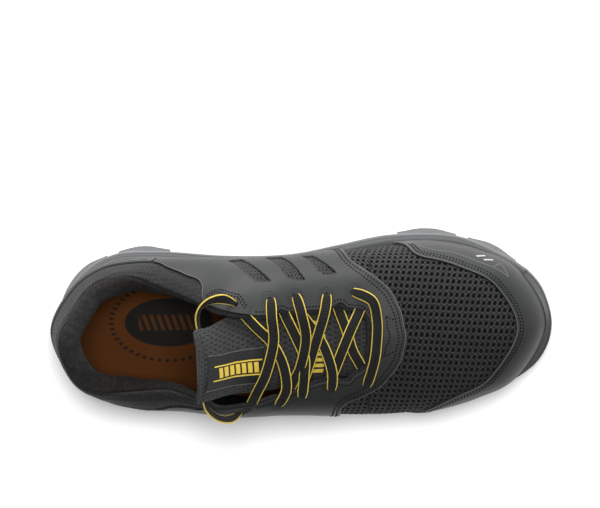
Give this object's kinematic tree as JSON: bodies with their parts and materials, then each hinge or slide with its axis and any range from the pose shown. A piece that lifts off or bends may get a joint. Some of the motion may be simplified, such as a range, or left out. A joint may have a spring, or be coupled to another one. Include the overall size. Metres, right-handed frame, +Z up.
{
  "type": "work shoe",
  "caption": "Low work shoe for the right foot: mesh vamp, smooth rand and quarters, padded collar, flat laces, lugged rubber sole.",
  "frame": {"origin": "on the floor under the middle of the shoe's length and width", "axes": "+X to the toe, +Y to the inner (medial) side, +Z up"},
  "size_m": [0.304, 0.1143, 0.1209],
  "materials": {
    "rubber_black": "matte moulded rubber",
    "foam_grey": "matte foam",
    "mesh_black": "open mesh and knitted fabric",
    "synthetic_grey": "smooth coated synthetic",
    "footbed_orange": "brushed fabric on foam",
    "tongue_knit": "padded knitted fabric",
    "lace_black": "woven flat lace with amber edges"
  },
  "bodies": {
    "root": {"outsole": "rubber_black", "midsole": "foam_grey", "insole": "footbed_orange", "upper": "mesh_black", "toe_rand": "synthetic_grey", "saddle": "synthetic_grey", "heel_counter": "synthetic_grey", "eyelet_tab_medial": "synthetic_grey", "eyelet_tab_lateral": "synthetic_grey", "tongue": "tongue_knit", "tongue_patch": "synthetic_grey", "lace_bar": "lace_black", "lace_cross_1": "lace_black", "lace_cross_2": "lace_black", "lace_cross_3": "lace_black", "lace_cross_4": "lace_black", "lace_loop": "lace_black"}
  },
  "joints": []
}
